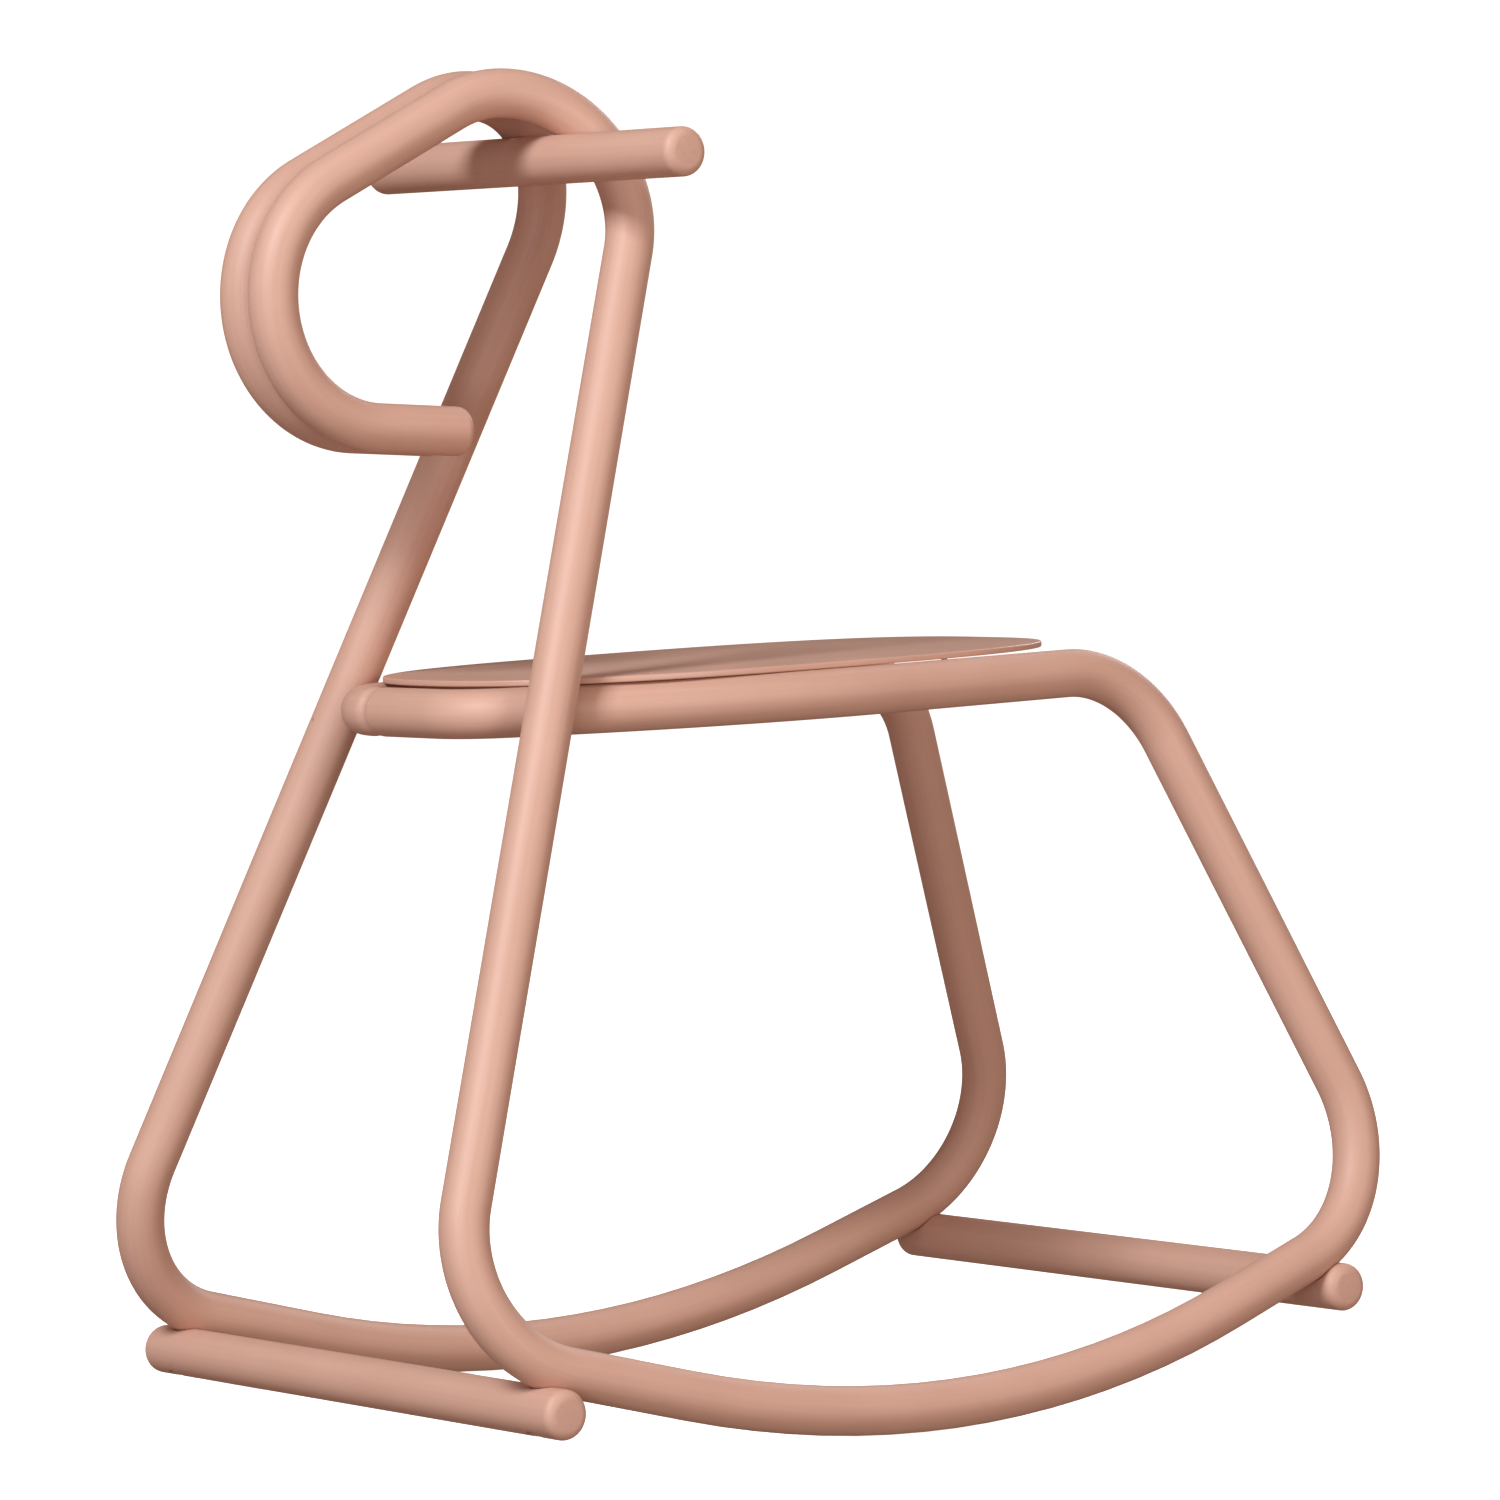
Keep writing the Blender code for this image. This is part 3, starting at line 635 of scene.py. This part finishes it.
def seatPanel():
    slope = rod["railSlope"]
    lift = (rod["radius"] + rod["gap"] + seat["thickness"] / 2) * math.sqrt(1 + slope ** 2)
    middle = onRailPlane(seat["centre"], 0.0) + [0, 0, lift]
    tilt = math.atan(slope)
    along = np.array([0, math.cos(tilt), math.sin(tilt)])
    above = np.array([0, -math.sin(tilt), math.cos(tilt)])
    half, edge, steps = seat["thickness"] / 2, seat["edgeRounding"], seat["edgeSteps"]
    levels = []
    for k in range(steps + 1):
        angle = math.pi / 2 * k / steps
        levels.append((edge * (1 - math.sin(angle)), -half + edge * (1 - math.cos(angle))))
    levels += [(inwards, -z) for inwards, z in reversed(levels)]
    shape = bmesh.new()
    rings = []
    for inwards, z in levels:
        rings.append([shape.verts.new(middle + [x, 0, 0] + along * y + above * z)
                      for x, y in seatOutline(inwards)])
    for lower, upper in zip(rings, rings[1:]):
        for k in range(len(lower)):
            shape.faces.new((lower[k - 1], lower[k], upper[k], upper[k - 1]))
    shape.faces.new(rings[0])
    shape.faces.new(rings[-1])
    bmesh.ops.recalc_face_normals(shape, faces=shape.faces)
    mesh = bpy.data.meshes.new("seatPanel")
    shape.to_mesh(mesh)
    shape.free()
    mesh.materials.append(seatPaint)
    made = bpy.data.objects.new("seatPanel", mesh)
    bpy.context.scene.collection.objects.link(made)
    return made


seatTop = seatPanel()
seatScrews = sorted(n for n in nodes if n.startswith("seat_screw"))
carve(seatTop, [holeFor(n, small=True) for n in seatScrews], sharpAbove=28.0)
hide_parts("seat_panel")
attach(seatTop, "root")
print("seat panel made")


def screwPattern(name, head, depth, shank, length):
    edge = screw["edge"]
    profile = [(0, 0), (head - edge, 0), (head, edge), (head, edge * 2), (shank, depth),
               (shank, length - shank * screw["tipShare"]), (0, length)]
    made = turnedCutter(name, profile, (0, 0, 0), (0, 0, -1))
    made.data.materials.append(screwSteel)
    socket = turnedCutter(name + "Socket",
                          [(0, -0.001), (screw["socket"], -0.001), (screw["socket"], screw["socketDepth"]),
                           (0, screw["socketDepth"] + 0.0004)],
                          (0, 0, 0), (0, 0, -1), sides=screw["socketSides"])
    carve(made, [socket], sharpAbove=24.0)
    return made


def screwTree():
    made = Tree("screwsOnMarks", [("Screw", "NodeSocketObject"), ("Finish", "NodeSocketMaterial")])
    turn = made.node("GeometryNodeInputNamedAttribute", {"data_type": "FLOAT_VECTOR"}, {"Name": "turn"})
    pattern = made.node("GeometryNodeObjectInfo", None, {"Object": made.given("Screw")})
    dots = made.node("GeometryNodeMeshToPoints", None, {"Mesh": made.given("Geometry")})
    angles = made.node("FunctionNodeEulerToRotation", None, {"Euler": turn.outputs["Attribute"]})
    placed = made.node("GeometryNodeInstanceOnPoints", None,
                       {"Points": dots.outputs["Points"], "Instance": pattern.outputs["Geometry"],
                        "Rotation": angles.outputs["Rotation"]})
    whole = made.node("GeometryNodeRealizeInstances", None, {"Geometry": placed.outputs["Instances"]})
    plated = made.node("GeometryNodeSetMaterial", None,
                       {"Geometry": whole.outputs["Geometry"], "Material": made.given("Finish")})
    made.close(plated.outputs["Geometry"])
    return made


screwsOnMarks = screwTree()
groups = {  # the frame's screws of each kind, and the sizes of the one that stands for them
    "footrestScrews": (sorted(n for n in nodes if "footrest_screw" in n),
                       screw["head"], screw["headDepth"], screw["shank"]),
    "seatScrews": (seatScrews, screw["seatHead"], screw["seatHeadDepth"], screw["seatShank"]),
}
for name, (members, head, depth, shank) in groups.items():
    marks = [screwMark(n) for n in members]
    lengths = [max((np.array([v.co for v in nodes[n].data.vertices]) - place) @ way)
               for n, (place, way) in zip(members, marks)]
    pattern = screwPattern(name + "Pattern", head, depth, shank, float(min(lengths)))
    base = bpy.data.meshes.new(name + "Marks")
    base.from_pydata([tuple(place) for place, way in marks], [], [])
    turns = base.attributes.new("turn", "FLOAT_VECTOR", "POINT")
    flat = []
    for place, way in marks:
        flat += list((-Vector(way)).to_track_quat("Z", "Y").to_euler())
    turns.data.foreach_set("vector", flat)
    piece = screwsOnMarks.run(base, name, {"Screw": pattern, "Finish": screwSteel})
    bpy.data.objects.remove(pattern, do_unlink=True)
    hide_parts(*members)
    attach(piece, "root")
print("screws set")

for name, thing in nodes.items():  # what stays of the frame's own solids
    if "dowel" in name or name.startswith("leg_screw"):
        finish = dowelBeech if "dowel" in name else screwSteel
        thing.data.materials.clear()
        thing.data.materials.append(finish)

studio = {
    "floorReach": 9.0,
    "sweep": 3.5,
    "wall": 7.0,
    "sweepSteps": 16,
    "white": (0.93, 0.925, 0.92, 1.0),
    "mottled": (0.90, 0.895, 0.89, 1.0),
    "world": 0.27,
    "sky": (1.0, 0.69, 0.56, 1.0),
    "glow": 1.00,
    # place, what it points at, width, height, watts and colour
    "key": ((1.18, -3.1, 2.75), (0.0, 0.0, 0.35), 1.15, 1.15, 141.0, (0.83, 0.93, 1.0)),
    "fill": ((4.0, 0.30, 1.0), (0.0, 0.0, 0.30), 1.6, 1.4, 52.0, (1.0, 0.97, 0.93)),
    "low": ((1.8, -2.6, 0.25), (0.0, 0.0, 0.20), 1.6, 0.5, 18.0, (0.86, 0.92, 1.0)),
    "back": ((-1.6, 3.2, 2.0), (0.0, 0.0, 0.30), 1.6, 1.6, 34.0, (0.90, 0.95, 1.0)),
}


def backdrop():
    shop = Shop("paleFloor")
    place = shop.node("ShaderNodeTexCoord")["Object"]
    mottle = shop.noise(place, 3.0, 4.0)
    colour = shop.blend(mottle * 0.3, studio["white"], studio["mottled"])
    finish = shop.finish(**{"Base Color": colour, "Roughness": 0.85,
                            "Emission Color": studio["white"], "Emission Strength": studio["glow"]})
    profile = [(0.0, 0.0), (studio["floorReach"], 0.0)]
    for k in range(1, studio["sweepSteps"] + 1):
        angle = math.pi / 2 * k / studio["sweepSteps"]
        profile.append((studio["floorReach"] + studio["sweep"] * math.sin(angle),
                        studio["sweep"] * (1 - math.cos(angle))))
    profile.append((studio["floorReach"] + studio["sweep"], studio["wall"]))
    shape = bmesh.new()
    line = [shape.verts.new((r, 0.0, z)) for r, z in profile]
    edges = [shape.edges.new(pair) for pair in zip(line, line[1:])]
    bmesh.ops.spin(shape, geom=[*line, *edges], cent=(0, 0, 0), axis=(0, 0, 1),
                   angle=2 * math.pi, steps=96, use_duplicate=False)
    bmesh.ops.remove_doubles(shape, verts=shape.verts, dist=0.0001)
    bmesh.ops.recalc_face_normals(shape, faces=shape.faces)
    for face in shape.faces:
        face.smooth = True
    mesh = bpy.data.meshes.new("studioFloor")
    shape.to_mesh(mesh)
    shape.free()
    mesh.materials.append(finish)
    floor = bpy.data.objects.new("studioFloor", mesh)
    bpy.context.scene.collection.objects.link(floor)
    floor.visible_diffuse = floor.visible_glossy = False  # its bounce would wash out the undersides


def softLight(name):
    place, target, width, height, watts, colour = studio[name]
    lamp = bpy.data.lights.new(name + "Light", "AREA")
    lamp.shape, lamp.size, lamp.size_y, lamp.energy = "RECTANGLE", width, height, watts
    lamp.color = colour
    made = bpy.data.objects.new(name + "Light", lamp)
    made.location = place
    made.rotation_euler = (Vector(target) - Vector(place)).to_track_quat("-Z", "Y").to_euler()
    made.visible_camera = False
    bpy.context.scene.collection.objects.link(made)


backdrop()
for name in ("key", "fill", "low", "back"):
    softLight(name)
sky = bpy.data.worlds.new("softSky")
sky.use_nodes = True
sky.node_tree.nodes["Background"].inputs["Color"].default_value = studio["sky"]
sky.node_tree.nodes["Background"].inputs["Strength"].default_value = studio["world"]
bpy.context.scene.world = sky

bpy.context.scene.view_settings.view_transform = "Standard"

camera = {"turn": 36.846, "dip": 1.835, "place": (2.23065, 2.97525, 0.44283),  # turns in degrees
          "lens": 178.517, "sensor": 36.0, "clip": (0.05, 60.0)}
lens = bpy.data.cameras.new("studioCamera")
lens.lens, lens.sensor_width = camera["lens"], camera["sensor"]
lens.clip_start, lens.clip_end = camera["clip"]
eye = bpy.data.objects.new("studioCamera", lens)
forward, half, up = camera["place"]
eye.location = Vector(world(forward, half, up))
turn, dip = math.radians(camera["turn"]), math.radians(camera["dip"])
look = Vector((-math.cos(turn) * math.cos(dip), math.sin(turn) * math.cos(dip), -math.sin(dip)))
eye.rotation_euler = look.to_track_quat("-Z", "Y").to_euler()
bpy.context.scene.collection.objects.link(eye)
bpy.context.scene.camera = eye
print("studio ready")
